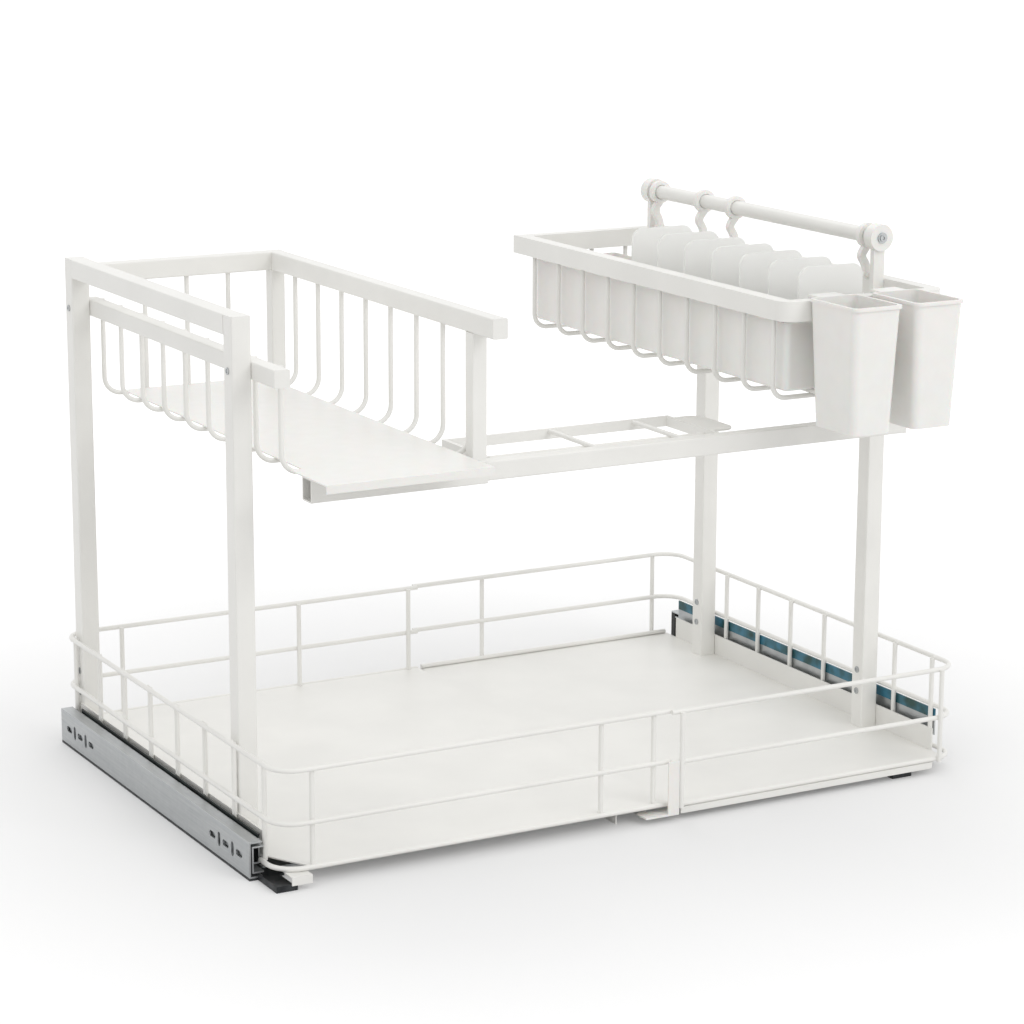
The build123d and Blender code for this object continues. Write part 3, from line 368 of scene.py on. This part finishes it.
# Polypropylene, moulded smooth: a soft semi-gloss, a little light gets under the skin
polypropylene, tree = new_finish("white_polypropylene")
place = add_node(tree, "ShaderNodeTexCoord")
flow = add_node(tree, "ShaderNodeTexNoise",
                {"Vector": place.outputs["Object"], "Scale": 1 / FLOW_CLOUD, "Detail": 2.0})
tone = add_node(tree, "ShaderNodeValToRGB", {"Fac": flow.outputs["Fac"]},
                stops=((0.0, MOULDED_SHADE), (1.0, MOULDED_LIGHT)))
skin = add_node(tree, "ShaderNodeBump",
                {"Height": flow.outputs["Fac"], "Strength": 0.05, "Distance": FLOW_DEPTH})
shader = add_node(tree, "ShaderNodeBsdfPrincipled",
                  {"Base Color": tone.outputs[0], "Roughness": 0.32, "IOR": POLYPROPYLENE_IOR,
                   "Normal": skin.outputs[0], "Subsurface Weight": 0.15,
                   "Subsurface Scale": LIGHT_REACH})
add_node(tree, "ShaderNodeOutputMaterial", {"Surface": shader.outputs[0]})
dress(polypropylene, "joint_clip")

# Posts and the left top tube.
# Square steel tube with rounded edges and closed ends, powder coated and screwed to the side walls of
# the tray. The top tube joins the two left posts.
dress(powder_coat, "left_front_post", "left_back_post", "left_top_tube",
      "right_front_post", "right_back_post")

# Shelf.
# Flat and square tube rails with bent wires welded between them, and a thin moulded floor.
dress(powder_coat, "shelf_left_rail", "shelf_back_rail", "shelf_right_rail", "shelf_uprights",
      "shelf_wires")
dress(polypropylene, "shelf_floor")

# Cross beam and the rack behind it.
# A rectangular tube that slides in a sleeve, and a small rack of strip and wire, all powder coated.
dress(powder_coat, "beam_sleeve", "beam_inner", "beam_rack")

# Basket.
# A folded steel band with bent wires welded inside it, powder coated.
dress(powder_coat, "basket_rim", "basket_wires")

# Liner and dividers.
# The liner is a white moulded box that lies in the basket. The dividers are sheets of frosted
# polypropylene that stand in its grooves.
FROST_GRAIN = 1.2 * MM
FROST_DEPTH = 0.1 * MM
FROST_WHITE = "F6F6F4"
FROST_GLOW = "FBFBFA"
DIVIDERS = 7
dress(polypropylene, "basket_liner")

# Frosted sheet: matt, slightly see-through, so light from behind makes it glow
frosted, tree = new_finish("frosted_polypropylene")
place = add_node(tree, "ShaderNodeTexCoord")
frost = add_node(tree, "ShaderNodeTexNoise",
                 {"Vector": place.outputs["Object"], "Scale": 1 / FROST_GRAIN, "Detail": 2.0})
skin = add_node(tree, "ShaderNodeBump",
                {"Height": frost.outputs["Fac"], "Strength": 0.12, "Distance": FROST_DEPTH})
sheet = add_node(tree, "ShaderNodeBsdfPrincipled",
                 {"Base Color": linear(FROST_WHITE), "Roughness": 0.45, "IOR": POLYPROPYLENE_IOR,
                  "Normal": skin.outputs[0], "Transmission Weight": 0.5})
glow = add_node(tree, "ShaderNodeBsdfTranslucent",
                {"Color": linear(FROST_GLOW), "Normal": skin.outputs[0]})
mixed = add_node(tree, "ShaderNodeMixShader", {0: 0.45, 1: sheet.outputs[0], 2: glow.outputs[0]})
add_node(tree, "ShaderNodeOutputMaterial", {"Surface": mixed.outputs[0]})
dress(frosted, *[f"divider_{number}" for number in range(1, DIVIDERS + 1)])

# Towel bar, its brackets and the ring hooks.
# A powder-coated steel tube held by two moulded brackets, with four moulded hooks that slide on it.
dress(powder_coat, "towel_bar")
dress(polypropylene, "front_bar_bracket", "back_bar_bracket",
      "ring_hook_1", "ring_hook_2", "ring_hook_3", "ring_hook_4")

# Hanging cups.
# Moulded in the same white polypropylene, with a lip and a tab that hooks over the basket's rim.
dress(polypropylene, "cup_1", "cup_2")

# Frame screws.
# Plain zinc-plated steel screws with pressed heads and a hexagon socket.
dress(zinc_plate, "left_frame_screws", "right_frame_screws")

# Stage: floor.
# A wide sheet of matt white card under the organizer. Its glow lights no piece, and grows outwards
# from the organizer, so that the card is pure white away from the shadow.
FLOOR_HALF = 30.0
CARD_WHITE = "DEDEDE"
CARD_SHADE_GLOW = 0.12
CARD_OPEN_GLOW = 0.5
SHADE_REACH = 0.25
OPEN_REACH = 1.1
WHITE = "FFFFFF"

# Matt white card: the eye sees an even white with a soft grey contact shadow
sweep_card, tree = new_finish("matt_white_card")
path = add_node(tree, "ShaderNodeLightPath")
card = add_node(tree, "ShaderNodeBsdfDiffuse", {"Color": linear(CARD_WHITE)})
spot = add_node(tree, "ShaderNodeTexCoord")
reach = add_node(tree, "ShaderNodeVectorMath", {0: spot.outputs["Object"]}, operation="LENGTH")
spread = add_node(tree, "ShaderNodeMapRange",
                  {"Value": reach.outputs["Value"], "From Min": SHADE_REACH, "From Max": OPEN_REACH,
                   "To Min": CARD_SHADE_GLOW, "To Max": CARD_OPEN_GLOW})
glow = add_node(tree, "ShaderNodeEmission", {"Color": linear(WHITE), "Strength": spread.outputs[0]})


def camera_glossy_or_transmission(tree, path):
    """One where a ray comes from the camera, a shine or a clear piece, and zero elsewhere."""
    seen = path.outputs["Is Camera Ray"]
    for kind in ("Is Glossy Ray", "Is Transmission Ray"):
        either = add_node(tree, "ShaderNodeMath", {0: seen, 1: path.outputs[kind]}, operation="MAXIMUM")
        seen = either.outputs[0]
    return seen


seen = camera_glossy_or_transmission(tree, path)
lifted = add_node(tree, "ShaderNodeAddShader", {0: card.outputs[0], 1: glow.outputs[0]})
mixed = add_node(tree, "ShaderNodeMixShader", {0: seen, 1: card.outputs[0], 2: lifted.outputs[0]})
add_node(tree, "ShaderNodeOutputMaterial", {"Surface": mixed.outputs[0]})

floor_mesh = bpy.data.meshes.new("floor")
floor_corners = [(x * FLOOR_HALF, y * FLOOR_HALF, 0.0)
                 for x, y in ((-1, -1), (1, -1), (1, 1), (-1, 1))]
floor_mesh.from_pydata(floor_corners, [], [(0, 1, 2, 3)])
floor_mesh.materials.append(sweep_card)
floor = bpy.data.objects.new("floor", floor_mesh)
bpy.context.scene.collection.objects.link(floor)

# Stage: light.
# An even white room, a broad lamp at the right of the camera, one behind and above the organizer that
# throws its soft shadow forward, and a weak one at the left.
ROOM_LIGHT = 0.86
room = bpy.data.worlds.new("room")
room.use_nodes = True
tree = room.node_tree
tree.nodes.clear()
seen = camera_glossy_or_transmission(tree, add_node(tree, "ShaderNodeLightPath"))
soft = add_node(tree, "ShaderNodeBackground", {"Color": linear(WHITE), "Strength": ROOM_LIGHT})
white = add_node(tree, "ShaderNodeBackground", {"Color": linear(WHITE), "Strength": 1.0})
mixed = add_node(tree, "ShaderNodeMixShader", {0: seen, 1: soft.outputs[0], 2: white.outputs[0]})
add_node(tree, "ShaderNodeOutputWorld", {"Surface": mixed.outputs[0]})
bpy.context.scene.world = room

# Each lamp's place, side and power in watts
LAMPS = (
    ("key_lamp", (1.1, -2.6, 2.0), 1.6, 22.0),
    ("back_lamp", (0.3, 1.6, 2.4), 1.4, 9.0),
    ("left_lamp", (-2.6, -0.6, 1.5), 1.6, 3.0),
)
LAMP_AIM = Vector((0, 0, 0.15))
for name, place, size, watts in LAMPS:
    lamp_data = bpy.data.lights.new(name, "AREA")
    lamp_data.shape = "SQUARE"
    lamp_data.size = size
    lamp_data.energy = watts
    lamp = bpy.data.objects.new(name, lamp_data)
    bpy.context.scene.collection.objects.link(lamp)
    lamp.location = place
    lamp.rotation_euler = (LAMP_AIM - Vector(place)).to_track_quat("-Z", "Y").to_euler()

# Stage: camera.
# It looks at the organizer's front left corner from a little above, through a long lens.
CAMERA_PLACE = (-1.1246, -2.0322, 0.7422)
CAMERA_YAW = math.radians(-28.83)
CAMERA_PITCH = math.radians(13.05)
CAMERA_ROLL = 0.003
CAMERA_LENS = 106.24
SENSOR = 36.0
ahead = Vector((
    -math.sin(CAMERA_YAW) * math.cos(CAMERA_PITCH),
    math.cos(CAMERA_YAW) * math.cos(CAMERA_PITCH),
    -math.sin(CAMERA_PITCH),
))
level_right = Vector((math.cos(CAMERA_YAW), math.sin(CAMERA_YAW), 0.0))
level_up = level_right.cross(ahead)
right = math.cos(CAMERA_ROLL) * level_right + math.sin(CAMERA_ROLL) * level_up
up = math.cos(CAMERA_ROLL) * level_up - math.sin(CAMERA_ROLL) * level_right
camera_data = bpy.data.cameras.new("camera")
camera_data.lens = CAMERA_LENS
camera_data.sensor_width = SENSOR
camera = bpy.data.objects.new("camera", camera_data)
bpy.context.scene.collection.objects.link(camera)
turned_to_look = Matrix((right, up, -ahead)).transposed().to_4x4()
camera.matrix_world = Matrix.Translation(CAMERA_PLACE) @ turned_to_look
bpy.context.scene.camera = camera
bpy.context.scene.view_settings.view_transform = "Standard"
